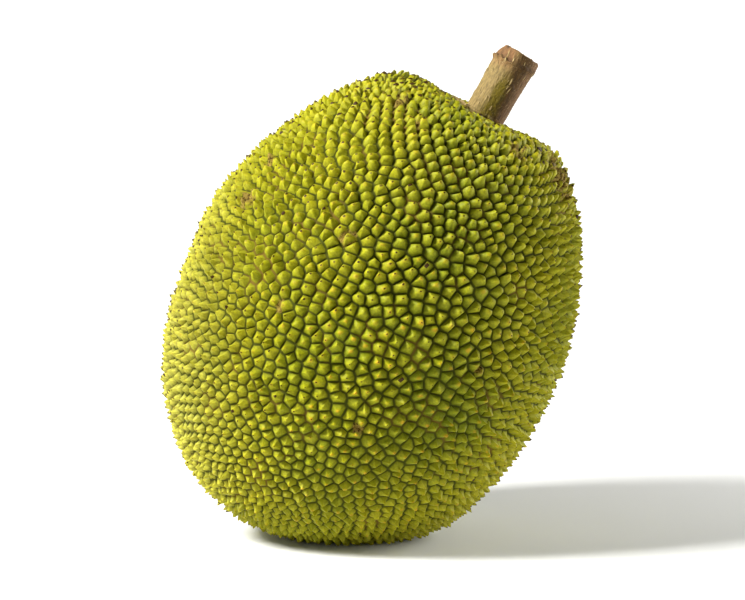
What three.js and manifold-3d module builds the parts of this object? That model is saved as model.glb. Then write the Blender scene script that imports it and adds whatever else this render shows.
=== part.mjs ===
// A whole jackfruit, as picked: the spiny fruit, resting on a small flat spot, and the cut stalk on top.
// Millimetres. +Z is up, +X is to the right of the side that faces -Y. The origin is the centre of the flat spot.

import * as THREE from 'three';
import { ConvexHull } from 'three/addons/math/ConvexHull.js';
import { mergeVertices } from 'three/addons/utils/BufferGeometryUtils.js';
import Module from 'manifold-3d';

const wasm = await Module();
wasm.setup();

// ---- Driving dimensions ----------------------------------------------------------------------------

// The rind between the spines is a rounded body about its own axis, from the blossom end to the stem.
const halfWidth = 125.6; // axis to the right or left side
const halfDepth = 121.8; // axis to the front or back
const halfLength = 160.3; // centre to either end, before the stem hollow
const fullness = 2.08; // 2 is an ellipsoid, more is boxier

// How the fruit rests: its axis leans to the right and to the back, and this is its centre over the spot.
const leanRight = 28; // degrees
const leanBack = 3; // degrees
const bodyCentre = new THREE.Vector3(14.3, 0.8, 147.4);

// Swells and hollows of the rind. polar is degrees from the stem, azimuth is degrees about the axis:
// 0 right, 90 back, 180 left, 270 front. spread is in degrees and rise is a share of the radius.
const swells = [
  { name: 'stem hollow', polar: 0, azimuth: 0, spread: 14, rise: -0.088 },
  { name: 'front of the stem hollow', polar: 14, azimuth: 270, spread: 10, rise: -0.018 },
  { name: 'right shoulder', polar: 20, azimuth: 0, spread: 7.3, rise: 0.019 },
  { name: 'left shoulder', polar: 21, azimuth: 180, spread: 7.8, rise: 0.016 },
  { name: 'back shoulder', polar: 21, azimuth: 95, spread: 11, rise: 0.032 },
  { name: 'upper right flank', polar: 56, azimuth: 0, spread: 20.7, rise: -0.025 },
  { name: 'upper left flank', polar: 53, azimuth: 180, spread: 16.4, rise: -0.023 },
  { name: 'front hollow', polar: 62, azimuth: 228, spread: 16, rise: -0.02 },
  { name: 'front ridge', polar: 92, azimuth: 285, spread: 32, rise: 0.02 },
  { name: 'back lump', polar: 80, azimuth: 95, spread: 30, rise: 0.012 },
  { name: 'left waist', polar: 104, azimuth: 180, spread: 12.4, rise: -0.024 },
  { name: 'low back lump', polar: 120, azimuth: 60, spread: 28, rise: 0.012 },
  { name: 'low right cheek', polar: 137, azimuth: 0, spread: 23, rise: 0.058 },
  { name: 'underside, to the back', polar: 131, azimuth: 36, spread: 20, rise: 0.02 },
  { name: 'underside, to the left', polar: 153, azimuth: 1, spread: 27, rise: -0.0545 },
];

// Spines: blunt pyramids that touch at their feet. They lean to the stem, and lie flat under the fruit.
const spineCount = 1500;
const spineHeight = 4.8;
const stemSpineHeight = 3; // shorter around the stalk
const stemSpineReach = 24; // degrees from the stem where they are full height
const spineHeightVariation = 0.16; // share of the height, either way
const spineScatter = 0.14; // share of the spacing, either way
const spineLean = 0.14; // share of the spacing that a tip moves towards the stem
const pressedFlat = [10, 16]; // degrees from the middle of the flat spot where spines start, and are whole

// Stalk: a woody stem on a thin collar, in a round seat cut flat in the stem hollow.
const seatHeight = 144.8; // from the fruit's centre, along its axis
const seatRadius = 25.4;
const seatGap = 0.3; // under the collar
const stalkOffset = 3; // the stalk and its seat stand this far right of the fruit's axis
const collarRadius = 24.6;
const collarThickness = 1.6;
const collarUpturn = 2.2; // the rim stands this much higher than the collar's middle
const stalkRadius = 13.5;
const cutRadius = 14.6;
const stalkLength = 51.4; // collar's underside to the cut
const stalkLean = 2; // degrees more to the right than the fruit's axis
const barkRingHeight = 43.5; // the swollen ring of bark under the cut
const barkRingSwell = 0.8;
const bevelDrop = 7; // the cut end's left edge is sliced off, this much lower than the cut
const bevelStart = 0.6; // where the slice starts, as a share of the radius
const stalkSides = 32;

// ---- The rind ----------------------------------------------------------------------------------------

const toRadians = THREE.MathUtils.degToRad;

// Turns the fruit's own axis, +Z at first, into the pose that it rests in.
const lean = new THREE.Matrix4()
  .makeRotationX(toRadians(-leanBack))
  .multiply(new THREE.Matrix4().makeRotationY(toRadians(leanRight)));
const restingSide = bodyCentre.clone().negate().transformDirection(lean.clone().invert());

// A direction about the fruit's own axis.
function towards(polar, azimuth) {
  const fromAxis = Math.sin(toRadians(polar));
  const turn = toRadians(azimuth);
  return new THREE.Vector3(fromAxis * Math.cos(turn), fromAxis * Math.sin(turn), Math.cos(toRadians(polar)));
}

for (const swell of swells) swell.middle = towards(swell.polar, swell.azimuth);

// A smooth bump in a direction: 1 in its middle, fading to 0 over its spread in degrees.
function bump(direction, middle, spread) {
  const away = THREE.MathUtils.radToDeg(direction.angleTo(middle)) / spread;
  return Math.exp(-away * away);
}

// Distance from the fruit's centre to the rind between the spines, in a direction about its own axis.
function rindRadius(direction) {
  const across = Math.hypot(direction.x / halfWidth, direction.y / halfDepth);
  const along = Math.abs(direction.z) / halfLength;
  let share = 1;
  for (const swell of swells) share += swell.rise * bump(direction, swell.middle, swell.spread);
  return share / (across ** fullness + along ** fullness) ** (1 / fullness);
}

// How tall a spine stands in a direction: shorter around the stalk, and gone where the fruit rests.
function heightOfSpine(direction) {
  const fromStem = THREE.MathUtils.radToDeg(Math.acos(direction.z));
  const fromSpot = THREE.MathUtils.radToDeg(direction.angleTo(restingSide));
  const grown = THREE.MathUtils.smoothstep(fromStem, 0, stemSpineReach);
  const tall = THREE.MathUtils.lerp(stemSpineHeight, spineHeight, grown);
  return tall * THREE.MathUtils.smoothstep(fromSpot, ...pressedFlat);
}

// The same scatter every time, between -1 and 1.
function scatter(seed) {
  const wave = Math.sin(seed * 12.9898) * 43758.5453;
  return 2 * (wave - Math.floor(wave)) - 1;
}

const spineSpacing = Math.sqrt(4 * Math.PI / spineCount); // on a ball with a radius of 1

// Spine places spiral from the stem to the blossom end, a golden angle apart, on a unit ball.
function spinePlaces() {
  const goldenAngle = Math.PI * (3 - Math.sqrt(5));
  const places = [];
  for (let i = 0; i < spineCount; i += 1) {
    const z = 1 - 2 * (i + 0.5) / spineCount;
    const round = Math.sqrt(1 - z * z);
    const place = new THREE.Vector3(round * Math.cos(i * goldenAngle), round * Math.sin(i * goldenAngle), z);
    const shift = new THREE.Vector3(scatter(i + 0.1), scatter(i + 0.4), scatter(i + 0.7));
    places.push(place.addScaledVector(shift, spineScatter * spineSpacing).normalize());
  }
  return places;
}

// A place on the unit ball, stretched to the body's proportions and turned to a direction.
function stretched(place) {
  return new THREE.Vector3(place.x * halfWidth, place.y * halfDepth, place.z * halfLength).normalize();
}

// Every spine is a fan of triangles from its tip down to the hollows between it and its neighbours.
// Its tip stands over the middle of those hollows, and leans to the stem.
function spinyBody() {
  const places = spinePlaces();
  const numberOf = new Map(places.map((place, i) => [place, i]));
  const { faces } = new ConvexHull().setFromPoints(places);
  const tipPlaces = places.map(() => new THREE.Vector3());
  const hollows = [];
  const hollowOf = new Map();
  for (const face of faces) {
    const corners = [face.edge.tail().point, face.edge.head().point, face.edge.next.head().point];
    const middle = corners[0].clone().add(corners[1]).add(corners[2]).normalize();
    for (const corner of corners) tipPlaces[numberOf.get(corner)].add(middle);
    const direction = stretched(middle);
    hollowOf.set(face, places.length + hollows.length);
    hollows.push(direction.multiplyScalar(rindRadius(direction)));
  }
  const tips = tipPlaces.map((place, i) => {
    place.normalize();
    place.z += spineLean * spineSpacing;
    const direction = stretched(place);
    const tall = heightOfSpine(direction) * (1 + spineHeightVariation * scatter(i + 0.9));
    return direction.multiplyScalar(rindRadius(direction) + tall);
  });
  const triangles = [];
  for (const face of faces) {
    let edge = face.edge;
    do {
      triangles.push(numberOf.get(edge.head().point), hollowOf.get(face), hollowOf.get(edge.twin.face));
      edge = edge.next;
    } while (edge !== face.edge);
  }
  return { points: [...tips, ...hollows], triangles };
}

// ---- Solids ------------------------------------------------------------------------------------------

function geometryOf(points, triangles) {
  const geometry = new THREE.BufferGeometry().setFromPoints(points);
  geometry.setIndex(triangles);
  return geometry;
}

function solidOf(geometry) {
  const bare = geometry.clone();
  bare.deleteAttribute('normal');
  bare.deleteAttribute('uv');
  const merged = mergeVertices(bare);
  return new wasm.Manifold(new wasm.Mesh({
    numProp: 3,
    vertProperties: new Float32Array(merged.attributes.position.array),
    triVerts: new Uint32Array(merged.index.array),
  }));
}

function geometryFrom(solid) {
  const mesh = solid.getMesh();
  const geometry = new THREE.BufferGeometry();
  geometry.setAttribute('position', new THREE.BufferAttribute(mesh.vertProperties, 3));
  geometry.setIndex(new THREE.BufferAttribute(mesh.triVerts, 1));
  return geometry;
}

// Puts something made about the fruit's own axis where the resting fruit has it.
function placed(geometry) {
  return geometry.applyMatrix4(lean).translate(bodyCentre.x, bodyCentre.y, bodyCentre.z);
}

function makeFruit() {
  const { points, triangles } = spinyBody();
  const body = solidOf(placed(geometryOf(points, triangles)));
  const cutDepth = 40;
  const seat = new THREE.CylinderGeometry(seatRadius, seatRadius, cutDepth, 48);
  seat.rotateX(Math.PI / 2).translate(stalkOffset, 0, seatHeight + cutDepth / 2);
  const ground = new THREE.BoxGeometry(4 * halfWidth, 4 * halfWidth, cutDepth);
  ground.translate(0, 0, -cutDepth / 2);
  return geometryFrom(body.subtract(solidOf(placed(seat))).subtract(solidOf(ground)));
}

// ---- The stalk ---------------------------------------------------------------------------------------

// The stalk's outline from the middle of the collar's underside to the middle of the cut, as
// [radius, height] pairs. The collar's rim turns up, and a ring of bark swells under the cut.
function stalkOutline() {
  const shaftFoot = collarThickness + 3.4;
  const flare = (height) => THREE.MathUtils.lerp(stalkRadius, cutRadius, (height / stalkLength) ** 3);
  const outline = [
    [0, 0],
    [collarRadius - 5, 0],
    [collarRadius, collarUpturn],
    [collarRadius - 0.8, collarUpturn + collarThickness],
    [collarRadius - 5.5, collarThickness + 0.6],
    [stalkRadius + 1.5, collarThickness + 0.9],
    [stalkRadius + 0.4, shaftFoot],
  ];
  const shaftRings = 5;
  const shaftTop = barkRingHeight - 3;
  for (let ring = 1; ring <= shaftRings; ring += 1) {
    const height = THREE.MathUtils.lerp(shaftFoot, shaftTop, ring / shaftRings);
    outline.push([flare(height), height]);
  }
  outline.push([flare(barkRingHeight) + barkRingSwell, barkRingHeight]);
  outline.push([flare(barkRingHeight) + barkRingSwell * 0.6, barkRingHeight + 2]);
  outline.push([cutRadius, stalkLength - 0.8]);
  outline.push([cutRadius - 0.8, stalkLength]);
  outline.push([cutRadius * bevelStart, stalkLength]);
  outline.push([0, stalkLength]);
  return outline.map(([radius, height]) => new THREE.Vector2(radius, height));
}

function makeStalk() {
  const geometry = new THREE.LatheGeometry(stalkOutline(), stalkSides).rotateX(Math.PI / 2);
  const position = geometry.attributes.position;
  const rimTop = collarUpturn + collarThickness;
  for (let i = 0; i < position.count; i += 1) {
    const height = position.getZ(i);
    const leaning = Math.tan(toRadians(stalkLean)) * Math.max(0, height - rimTop);
    const towardsLeft = (-position.getX(i) / cutRadius - bevelStart) / (1 - bevelStart);
    const sliced = Math.max(0, towardsLeft) * THREE.MathUtils.smoothstep(height, barkRingHeight, stalkLength);
    position.setX(i, position.getX(i) + leaning);
    position.setZ(i, height - bevelDrop * sliced);
  }
  const standing = geometry.translate(stalkOffset, 0, seatHeight + seatGap);
  return geometryFrom(solidOf(placed(standing)));
}

// ---- The jackfruit -----------------------------------------------------------------------------------

function named(name, geometry, colour, roughness) {
  const material = new THREE.MeshStandardMaterial({ color: colour, roughness, metalness: 0 });
  geometry.computeVertexNormals();
  const mesh = new THREE.Mesh(geometry, material);
  mesh.name = name;
  return mesh;
}

const jackfruit = new THREE.Group();
jackfruit.add(named('fruit', makeFruit(), '#8f8d24', 0.55));
jackfruit.add(named('stalk', makeStalk(), '#927a4c', 0.8));

export default jackfruit;
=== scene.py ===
from functools import partial
from math import cos, exp, pi, radians, sin, sqrt, tan

import bmesh
import bpy
import numpy as np
from mathutils import Matrix, Vector, noise


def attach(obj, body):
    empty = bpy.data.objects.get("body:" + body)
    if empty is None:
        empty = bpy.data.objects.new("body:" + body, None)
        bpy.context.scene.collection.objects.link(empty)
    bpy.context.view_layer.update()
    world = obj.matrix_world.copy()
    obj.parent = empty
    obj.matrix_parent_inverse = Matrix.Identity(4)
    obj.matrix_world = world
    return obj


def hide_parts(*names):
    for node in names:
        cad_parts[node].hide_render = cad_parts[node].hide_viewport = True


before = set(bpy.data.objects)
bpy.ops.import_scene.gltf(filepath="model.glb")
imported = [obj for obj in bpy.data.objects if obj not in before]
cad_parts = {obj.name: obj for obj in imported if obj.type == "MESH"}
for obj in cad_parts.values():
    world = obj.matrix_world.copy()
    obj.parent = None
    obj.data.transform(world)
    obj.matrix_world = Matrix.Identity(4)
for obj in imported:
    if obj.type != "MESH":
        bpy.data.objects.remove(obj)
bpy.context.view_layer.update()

bl_info = {
    "name": "Jackfruit",
    "version": (1, 0, 0),
    "blender": (4, 5, 0),
    "location": "View3D > Sidebar > Jackfruit",
    "description": "Builds a whole jackfruit with its spiny rind and cut stalk",
    "category": "Add Mesh",
}

MM = 0.001

# Swells and hollows of the rind, as (polar, azimuth, spread) in degrees and a rise as a share of the
# radius. polar is measured from the stem, and azimuth about the fruit's axis: 0 right, 90 back, 180 left.
SWELLS = {
    "stem hollow": (0, 0, 14, -0.088),
    "front of the stem hollow": (14, 270, 10, -0.018),
    "right shoulder": (20, 0, 7.3, 0.019),
    "left shoulder": (21, 180, 7.8, 0.016),
    "back shoulder": (21, 95, 11, 0.032),
    "upper right flank": (56, 0, 20.7, -0.025),
    "upper left flank": (53, 180, 16.4, -0.023),
    "front hollow": (62, 228, 16, -0.02),
    "front ridge": (92, 285, 32, 0.02),
    "back lump": (80, 95, 30, 0.012),
    "left waist": (104, 180, 12.4, -0.024),
    "low back lump": (120, 60, 28, 0.012),
    "low right cheek": (137, 0, 23, 0.058),
    "underside, to the back": (131, 36, 20, 0.02),
    "underside, to the left": (153, 1, 27, -0.0545),
}

# The moat around the stalk's seat: the radius where it is deepest, and its width, in seat radii.
MOAT_RADIUS = 1.4
MOAT_WIDTH = 0.4

# Two places at the front, above the middle. The spines are tallest around one, and around the other they are
# plump with rounder ridges.
TALL_SIDE = (-0.2, -0.8, 0.55)
ROUND_SIDE = (-0.1, -0.85, 0.5)

# Rings up a spine: how wide it still is, how far up it is, how far its tip's shift has come, and how round.
SPINE_RINGS = (
    (1.0, 0.08, 0.05, 0.3), (0.76, 0.46, 0.35, 0.55), (0.42, 0.8, 0.72, 0.65), (0.0, 1.0, 1.0, 0.0))
BLUNTED_RING = 2
# The circle that a ring is rounded towards, as a share of the one that is as large as the ring.
CIRCLE_SIZE = 0.9
# Noise keeps near its middle value, so it is stretched by this to give the flanks their full waver.
NOISE_STRETCH = 4.0

# The upper left ripens first, and the lower front has the most ripening rings.
SUNNY_SIDE = (-0.85, -0.1, 0.5)
RINGED_SIDE = (0.2, -0.9, -0.4)

# Corky scabs on the rind, as (polar, azimuth) in degrees and a radius in millimetres.
SCABS = (
    (72, 250, 12), (26, 297, 16), (30, 229, 13), (34, 245, 8), (76, 210, 14), (63, 206, 10), (27, 336, 33),
    (88, 305, 7), (98, 243, 8), (118, 281, 8), (60, 60, 14), (95, 120, 12), (70, 160, 10), (112, 30, 11),
    (35, 110, 12),
)

# Raised scales of bark: the azimuth of the upper edge's middle in degrees, its height, and the scale's half
# width and length, in millimetres.
BARK_SCALES = (
    (294, 30.2, 3.6, 7), (290, 42.6, 2.4, 4), (303, 44.4, 1.5, 2.5), (25, 25, 3.4, 7), (60, 40, 3.0, 5),
    (115, 29, 3.6, 7), (150, 18, 2.6, 5), (190, 33, 3.2, 6),
)

# How far the collar's rim falls for each millimetre to the right, because the left shoulder has lifted it.
COLLAR_TILT = 0.05

# A dark knot on the edge of the cut.
KNOT_AZIMUTH = radians(229)
KNOT_RADIUS = 1.5 * MM

# Lamps that face the fruit, as place and size in metres and power in watts.
SOFTBOXES = {
    "left softbox": ((-1.32, -0.64, 1.42), (0.5, 0.6), 80),
    "right softbox": ((1.35, 0.35, 0.5), (0.8, 1.0), 20),
}
# Power of the long lamps that light the cove's wall, from the back round by the right.
WALL_LIGHTS = (95, 20, 6, 20)


# ---- Settings --------------------------------------------------------------------------------------

def srgb(code):
    """A hex colour as linear red, green, blue and alpha."""
    channels = [int(code[i:i + 2], 16) / 255 for i in (1, 3, 5)]
    return (*[c / 12.92 if c <= 0.04045 else ((c + 0.055) / 1.055) ** 2.4 for c in channels], 1.0)


def length(name, description, default):
    return bpy.props.FloatProperty(name=name, description=description, default=default, unit="LENGTH")


def angle(name, description, default):
    return bpy.props.FloatProperty(
        name=name, description=description, default=radians(default), subtype="ANGLE")


def share(name, description, default):
    return bpy.props.FloatProperty(name=name, description=description, default=default, subtype="FACTOR")


def number(name, description, default):
    return bpy.props.IntProperty(name=name, description=description, default=default)


def colour(name, description, code):
    return bpy.props.FloatVectorProperty(
        name=name, description=description, default=srgb(code), size=4, min=0, max=1, subtype="COLOR")


class JackfruitBodySettings(bpy.types.PropertyGroup):
    half_width: length("Half width", "Axis to the rind on the right and left", 125.7 * MM)
    half_depth: length("Half depth", "Axis to the rind at the front and back", 121.8 * MM)
    half_length: length("Half length", "Centre to either end, before the stem hollow", 160.4 * MM)
    fullness: bpy.props.FloatProperty(
        name="Fullness", description="2 is an ellipsoid, more is boxier", default=2.08)
    lean_right: angle("Lean right", "Turn of the axis to the right", 28)
    lean_back: angle("Lean back", "Turn of the axis to the back", 3)
    centre: bpy.props.FloatVectorProperty(
        name="Centre", description="The fruit's centre above its resting spot",
        default=(14.3 * MM, 0.8 * MM, 147.4 * MM), subtype="TRANSLATION", unit="LENGTH")
    seat_height: length("Seat height", "Centre to the flat seat under the stalk", 144.6 * MM)
    seat_radius: length("Seat radius", "Radius of the flat seat under the stalk", 25.4 * MM)
    moat_depth: length("Moat depth", "How far the rind sinks around the seat", 1.8 * MM)
    stalk_offset: length("Stalk offset", "How far right of the fruit's axis the stalk stands", 3 * MM)


class JackfruitRindSettings(bpy.types.PropertyGroup):
    spine_count: number("Spines", "How many spines", 4450)
    spine_height: length("Spine height", "Groove to tip on a full spine", 5.9 * MM)
    stem_height: length("Stem spine height", "Groove to tip beside the stalk", 4.6 * MM)
    groove: length("Groove width", "Width between two spines' feet", 0.85 * MM)
    height_variation: share("Height variation", "Spread of the heights, either way", 0.18)
    twist: angle("Twist", "How far the spiral is wrung about the stem", 36)
    scatter: share("Scatter", "How far a spine strays from the spiral, as a share of the spacing", 0.24)
    relaxing: number("Relaxing", "Rounds that even out the spacing", 4)
    side_crowding: share("Side crowding", "How much closer the spines stand on the flanks", 0.1)
    left_crowding: share("Left crowding", "How much closer they stand on the left than the right", 0.01)
    front_crowding: share("Front crowding", "How much closer they stand at the front than the back", 0.04)
    end_crowding: share("End crowding", "How much closer they stand at the ends than the middle", 0.1)
    stem_crowding: share("Stem crowding", "How much closer they stand around the stalk", 0.12)
    lean: share("Lean", "How far a tip moves to the stem, as a share of the spacing", 0.13)
    stem_lean: share("Stem lean", "The same on the shoulders beside the stalk", 0.35)
    stem_bluntness: share("Stem bluntness", "How much wider their tops are beside the stalk", 1.9)
    wander: share("Wander", "How far a tip strays any way, as a share of the spacing", 0.15)
    waver: length("Waver", "How uneven the flanks are", 0.55 * MM)
    seed: number("Seed", "Another pattern of spines", 7)
    green: colour("Green", "Flanks of the greener spines", "#6c7706")
    yellow: colour("Yellow", "Flanks of the riper spines", "#a09b13")
    # Painted sheen: a pale cream mixed into the left flank, where the key lamp grazes the rind.
    lit_sheen: colour("Lit sheen", "Left flank painted pale with the lamp's sheen", "#bcb458")
    tip: colour("Tip", "Ripening ring around a tip", "#c79516")
    point: colour("Point", "The dried point of a spine", "#3a2404")
    # The grooves' own dark green, darkened further as painted shade.
    groove_and_shade: colour("Grooves", "Between the spines", "#3c3f05")
    dry: colour("Dry grooves", "Between the spines where the rind has dried", "#6b561c")
    cork: colour("Cork", "Scabs on the rind", "#8f7a34")


class JackfruitStalkSettings(bpy.types.PropertyGroup):
    height: length("Height", "Collar's underside to the cut", 51.4 * MM)
    gap: length("Gap", "Between the fruit's seat and the collar", 0.5 * MM)
    base_radius: length("Base radius", "Radius of the shaft at the bottom", 13.5 * MM)
    top_radius: length("Top radius", "Radius of the shaft at the top", 14.6 * MM)
    ring_height: length("Ring height", "Height of the swollen ring of bark", 43.5 * MM)
    ring_swell: length("Ring swell", "How far the ring stands out", 0.8 * MM)
    collar_radius: length("Collar radius", "Radius of the thin collar on the fruit", 24.6 * MM)
    collar_height: length("Collar height", "Height of the collar's turned-up rim", 5.2 * MM)
    lean: angle("Lean", "Turn of the stalk from the fruit's axis to the right", 2)
    slant: length("Slant", "How much lower the cut is at the left edge", 7 * MM)
    roughness: length("Roughness", "Depth of the bark's ridges", 0.32 * MM)
    tear: length("Tear", "Thickness of the bark torn off under the cut", 0.8 * MM)
    shreds: bpy.props.FloatProperty(
        name="Shreds", description="Loose shreds in a square metre of bark", default=30000)
    shred_length: length("Shred length", "Length of a loose shred", 4 * MM)
    seed: number("Seed", "Another set of shreds", 3)
    # Pale and brown bark are lit and shaded copies of one bark: painted light on the left, painted shade on
    # the right.
    pale: colour("Pale bark", "Bark on the left, painted as lit", "#917b49")
    brown: colour("Brown bark", "Bark on the right, painted as shaded", "#533a12")
    pink: colour("Pink bark", "Bark at the right", "#8a6340")
    olive: colour("Olive bark", "Bark that is still green", "#665704")
    orange: colour("Inner bark", "Bare inner bark under the cut", "#855f38")
    fleck: colour("Flecks", "Scuffed fibres", "#b49c68")
    # Cracks and painted shadow: real cracks, and the painted shadow along raised scales' edges and in the
    # collar's trough.
    crack_and_shadow: colour("Cracks", "Cracks in the bark", "#33210f")
    wood: colour("Wood", "The cut", "#d8b294")


class JackfruitStageSettings(bpy.types.PropertyGroup):
    camera_distance: length("Camera distance", "Camera to the fruit", 1.9)
    camera_elevation: angle("Camera elevation", "How far the camera looks down", 6)
    view_width: length("View width", "Width of the view at the fruit", 491.7 * MM)
    room_above: length("Room above", "How far over the fruit's centre the camera aims", 9.25 * MM)
    room_left: length("Room left", "How far left of the fruit's centre the camera aims", 0.67 * MM)


# ---- Shape of the fruit ----------------------------------------------------------------------------

def direction(polar, azimuth):
    """A direction about the fruit's own axis, from two angles in degrees."""
    p, a = radians(polar), radians(azimuth)
    return np.array((sin(p) * cos(a), sin(p) * sin(a), cos(p)))


def rind_radius(directions, body):
    """Distance from the fruit's centre to the rind between the spines."""
    across = np.hypot(directions[:, 0] / body.half_width, directions[:, 1] / body.half_depth)
    along = np.abs(directions[:, 2]) / body.half_length
    swelling = np.ones(len(directions))
    for polar, azimuth, spread, rise in SWELLS.values():
        away = np.degrees(np.arccos(np.clip(directions @ direction(polar, azimuth), -1, 1))) / spread
        swelling += rise * np.exp(-away * away)
    return swelling / (across ** body.fullness + along ** body.fullness) ** (1 / body.fullness)


def resting_place(body):
    """The turn and shift from the fruit's own axis to where it rests."""
    lean = Matrix.Rotation(-body.lean_back, 4, "X") @ Matrix.Rotation(body.lean_right, 4, "Y")
    return Matrix.Translation(body.centre) @ lean


def mesh_points(mesh):
    """A mesh's points, one to a row."""
    points = np.empty(len(mesh.vertices) * 3)
    mesh.vertices.foreach_get("co", points)
    return points.reshape(-1, 3)


def move_points(mesh, points):
    mesh.vertices.foreach_set("co", points.ravel())
    mesh.update()


def smooth_body(body):
    """The rind between the spines, as a fine closed mesh about the fruit's own axis."""
    ball = bmesh.new()
    bmesh.ops.create_icosphere(ball, subdivisions=6, radius=1)
    mesh = bpy.data.meshes.new("smooth body")
    ball.to_mesh(mesh)
    ball.free()
    points = mesh_points(mesh)
    points /= np.linalg.norm(points, axis=1)[:, None]
    points *= rind_radius(points, body)[:, None]
    from_stalk = np.hypot(points[:, 0] - body.stalk_offset, points[:, 1])
    from_moat = (from_stalk - MOAT_RADIUS * body.seat_radius) / (MOAT_WIDTH * body.seat_radius)
    upper = points[:, 2] > 0
    points[upper, 2] -= (body.moat_depth * np.exp(-from_moat ** 2))[upper]
    points[(from_stalk < body.seat_radius) & (points[:, 2] > body.seat_height), 2] = body.seat_height
    move_points(mesh, points)
    return mesh


# ---- Nodes -----------------------------------------------------------------------------------------

# In order, a range takes the value, where it starts and ends, and what comes out at both. A mix of colours
# takes the share of the second as 0 and the two as 6 and 7. A random number's limits are 2 and 3.
MATHS = "ShaderNodeMath"
VECTOR = "ShaderNodeVectorMath"
COMBINE = "ShaderNodeCombineXYZ"
SEPARATE = "ShaderNodeSeparateXYZ"
RANGE = "ShaderNodeMapRange"
NOISE = "ShaderNodeTexNoise"
MIX = "ShaderNodeMix"
BUMP = "ShaderNodeBump"
ATTRIBUTE = "ShaderNodeAttribute"
RANDOM = "FunctionNodeRandomValue"
POSITION = "GeometryNodeInputPosition"
MOVE = "GeometryNodeSetPosition"
STORE = "GeometryNodeStoreNamedAttribute"
CAPTURE = "GeometryNodeCaptureAttribute"
SOFT = {"interpolation_type": "SMOOTHSTEP"}
COLOURS = {"data_type": "RGBA"}


def fill(node, inputs):
    """Links or sets a node's inputs, given in their order or by name or number."""
    for socket, value in inputs.items() if isinstance(inputs, dict) else enumerate(inputs):
        if isinstance(value, bpy.types.NodeSocket):
            node.id_data.links.new(value, node.inputs[socket])
        else:
            node.inputs[socket].default_value = value


def add_node(tree, kind, inputs=(), operation=None, **settings):
    """Adds a node with its inputs and settings, and returns its first live output."""
    node = tree.nodes.new(kind)
    if operation:
        node.operation = operation
    for name, value in settings.items():
        setattr(node, name, value)
    fill(node, inputs)
    return next(socket for socket in node.outputs if socket.enabled)


def new_tree(name, values):
    """An empty Geometry Nodes tree with an input for each named value, what adds nodes to it, and its
    inputs."""
    tree = bpy.data.node_groups.new(name, "GeometryNodeTree")
    for way in ("INPUT", "OUTPUT"):
        tree.interface.new_socket("Geometry", in_out=way, socket_type="NodeSocketGeometry")
    for label, value in values.items():
        kind = {int: "NodeSocketInt", float: "NodeSocketFloat", tuple: "NodeSocketVector"}[type(value)]
        tree.interface.new_socket(label, in_out="INPUT", socket_type=kind)
    return tree, partial(add_node, tree), tree.nodes.new("NodeGroupInput").outputs


def finish_tree(tree, geometry, material):
    """Ends a tree in real geometry with its material."""
    geometry = add_node(tree, "GeometryNodeRealizeInstances", [geometry])
    geometry = add_node(tree, "GeometryNodeSetMaterial", {"Geometry": geometry, "Material": material})
    fill(tree.nodes.new("NodeGroupOutput"), [geometry])


def new_material(name):
    """A material with a plain shader, and what adds nodes to it."""
    material = bpy.data.materials.new(name)
    material.use_nodes = True
    return material, partial(add_node, material.node_tree)


def finish_material(material, values):
    """Links or sets the sockets of a material's shader."""
    fill(material.node_tree.nodes["Principled BSDF"], values)
    return material


def placed(data, name):
    """An object for a mesh, light or camera, in the scene."""
    thing = bpy.data.objects.new(name, data)
    bpy.context.scene.collection.objects.link(thing)
    return thing


def grow(carrier, tree, values, name):
    """Runs a tree on a carrier object, and leaves a plain mesh piece in the carrier's place."""
    modifier = carrier.modifiers.new(tree.name, "NODES")
    modifier.node_group = tree
    for item in tree.interface.items_tree:
        if item.name in values:
            modifier[item.identifier] = values[item.name]
    bpy.context.view_layer.update()
    evaluated = carrier.evaluated_get(bpy.context.evaluated_depsgraph_get())
    mesh = bpy.data.meshes.new_from_object(evaluated)
    mesh.name = name
    carrier.modifiers.clear()
    bpy.data.objects.remove(carrier)
    return placed(mesh, name)


# ---- Rind ------------------------------------------------------------------------------------------

def spiral_directions(add, given):
    """Points on a golden-angle spiral about a ball, scattered, and crowded where the rind's spines are."""
    index = add("GeometryNodeInputIndex")
    middle = add(MATHS, [index, 0.5], "ADD")
    step = add(MATHS, [middle, given["Spines"]], "DIVIDE")
    z = add(MATHS, [step, -2.0, 1.0], "MULTIPLY_ADD")
    z_squared = add(MATHS, [z, z], "MULTIPLY")
    off_axis = add(MATHS, [1.0, z_squared], "SUBTRACT")
    off_axis = add(MATHS, [off_axis], "SQRT")
    golden_angle = pi * (3 - sqrt(5))
    turn = add(MATHS, [index, golden_angle], "MULTIPLY")
    # The twist comes in between two heights on the ball, near its ends.
    twist = add(RANGE, [z, -0.7, 0.8, 0.0, given["Twist"]], **SOFT)
    turn = add(MATHS, [turn, twist], "ADD")
    x, y = [add(MATHS, [off_axis, add(MATHS, [turn], part)], "MULTIPLY") for part in ("COSINE", "SINE")]
    spiral = add(COMBINE, [x, y, z])

    stray = add(RANDOM, {0: (-1, -1, -1), 1: (1, 1, 1), "Seed": given["Seed"]}, data_type="FLOAT_VECTOR")
    spacing = add(MATHS, [4 * pi, given["Spines"]], "DIVIDE")
    spacing = add(MATHS, [spacing], "SQRT")
    reach = add(MATHS, [spacing, given["Scatter"]], "MULTIPLY")
    stray = add(VECTOR, {0: stray, "Scale": reach}, "SCALE")
    place = add(VECTOR, [spiral, stray], "ADD")

    # Around the stem, from 60 degrees to 12 degrees off, the points close in on the axis.
    near_stem = add(RANGE, [z, cos(radians(60)), cos(radians(12)), 0.0, given["Stem Crowding"]], **SOFT)
    across = add(MATHS, [1.0, near_stem], "SUBTRACT")
    closing = add(COMBINE, [across, across, 1.0])
    place = add(VECTOR, [place, closing], "MULTIPLY")
    place = add(VECTOR, [place, given["Proportions"]], "MULTIPLY")
    place = add(VECTOR, [place], "NORMALIZE")
    place = add(VECTOR, [place, given["Crowded Side"]], "ADD")
    place = add(VECTOR, [place], "NORMALIZE")
    return add("GeometryNodePoints", {"Count": given["Spines"], "Position": place})


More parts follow.
